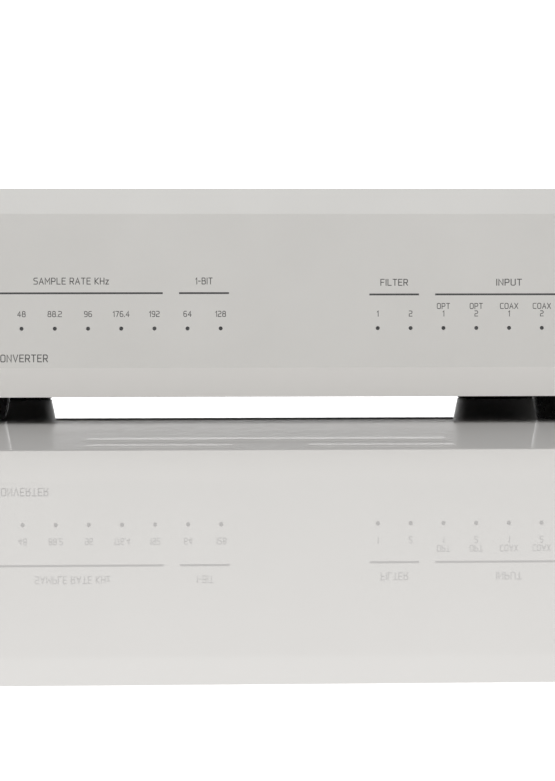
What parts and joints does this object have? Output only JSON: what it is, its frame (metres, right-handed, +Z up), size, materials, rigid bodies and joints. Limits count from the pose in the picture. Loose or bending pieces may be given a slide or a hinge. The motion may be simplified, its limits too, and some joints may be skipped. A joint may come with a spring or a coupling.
{
  "type": "desktop dac",
  "caption": "Low, wide desktop digital-to-analogue converter with a bevelled metal front panel, indicator lights, push buttons and rear sockets.",
  "frame": {"origin": "centre of the footprint on the table", "axes": "+X to the right seen from the front, +Y to the back, +Z up; the front panel faces -Y"},
  "size_m": [0.22, 0.214, 0.0535],
  "materials": {
    "anodised_aluminium": "fine satin anodised",
    "black_paint": "satin black paint on folded steel",
    "zinc_steel": "zinc plated",
    "black_screw": "black plated steel",
    "foot_rubber": "matt moulded",
    "black_plastic": "moulded",
    "white_plastic": "moulded",
    "red_plastic": "moulded",
    "clear_acrylic": "clear moulded",
    "circuit_board": "glass-fibre board with solder mask",
    "nickel_brass": "nickel plated",
    "gold_plate": "gold plated",
    "capacitor_sleeve": "shrink sleeve over aluminium cans",
    "film_capacitor": "moulded",
    "tin_can": "tin plated",
    "black_aluminium": "black anodised extrusion",
    "ferrite": "moulded ferrite",
    "ribbon": "flat cable"
  },
  "bodies": {
    "chassis": {"base_tray": "black_paint", "board_screws": "zinc_steel", "board_standoffs": "nickel_brass", "button_switches": "black_plastic", "clock_oscillators": "tin_can", "coax_sleeve_1": "gold_plate", "coax_sleeve_2": "gold_plate", "cover_screws": "black_screw", "dc_inlet_body": "black_plastic", "dc_inlet_pin": "nickel_brass", "display_board": "circuit_board", "display_screws": "zinc_steel", "display_spacers": "white_plastic", "film_capacitors": "film_capacitor", "filter_capacitors": "capacitor_sleeve", "floor_strips": "zinc_steel", "foot_front_left": "foot_rubber", "foot_front_right": "foot_rubber", "foot_rear_left": "foot_rubber", "foot_rear_right": "foot_rubber", "foot_screws": "zinc_steel", "foot_washers": "zinc_steel", "front_panel": "anodised_aluminium", "indicator_leds": "white_plastic", "input_choke": "ferrite", "jack_contacts": "gold_plate", "jack_housings": "black_plastic", "jack_insulators": "white_plastic", "jack_ring_left": "white_plastic", "jack_ring_right": "red_plastic", "jack_rings_coax": "black_plastic", "light_guide": "clear_acrylic", "line_sleeve_left": "gold_plate", "line_sleeve_right": "gold_plate", "main_board": "circuit_board", "mute_relays": "black_plastic", "optical_socket_1": "black_plastic", "optical_socket_2": "black_plastic", "panel_screws": "zinc_steel", "rear_panel": "black_paint", "rear_panel_screws": "black_screw", "regulator_heatsink": "black_aluminium", "regulator_screws": "zinc_steel", "ribbon_cable": "ribbon", "ribbon_headers": "black_plastic", "ribbon_plugs": "black_plastic", "signal_chips": "black_plastic", "top_cover": "black_paint", "usb_insert": "white_plastic", "usb_shell": "tin_can", "voltage_regulators": "black_plastic"},
    "power_button": {"power_button": "anodised_aluminium", "power_plunger": "black_plastic"},
    "filter_button": {"filter_button": "anodised_aluminium", "filter_plunger": "black_plastic"},
    "input_button": {"input_button": "anodised_aluminium", "input_plunger": "black_plastic"},
    "optical_shutter_1": {"optical_shutter_1": "black_plastic"},
    "optical_shutter_2": {"optical_shutter_2": "black_plastic"}
  },
  "joints": [
    {"name": "power_press", "type": "slide", "parent": "chassis", "child": "power_button", "axis": [0, 1, 0], "range_m": [0, 0.0008], "stiffness_N_per_m": 1500, "springref_m": -0.0004},
    {"name": "filter_press", "type": "slide", "parent": "chassis", "child": "filter_button", "axis": [0, 1, 0], "range_m": [0, 0.0008], "stiffness_N_per_m": 1500, "springref_m": -0.0004},
    {"name": "input_press", "type": "slide", "parent": "chassis", "child": "input_button", "axis": [0, 1, 0], "range_m": [0, 0.0008], "stiffness_N_per_m": 1500, "springref_m": -0.0004},
    {"name": "optical_shutter_1_hinge", "type": "hinge", "parent": "chassis", "child": "optical_shutter_1", "pos_m": [0.014, 0.0974, 0.0277], "axis": [-1, 0, 0], "range_deg": [0, 88], "stiffness_Nm_per_rad": 0.0004, "springref_deg": -28.65},
    {"name": "optical_shutter_2_hinge", "type": "hinge", "parent": "chassis", "child": "optical_shutter_2", "pos_m": [-0.004, 0.0974, 0.0277], "axis": [-1, 0, 0], "range_deg": [0, 88], "stiffness_Nm_per_rad": 0.0004, "springref_deg": -28.65}
  ]
}
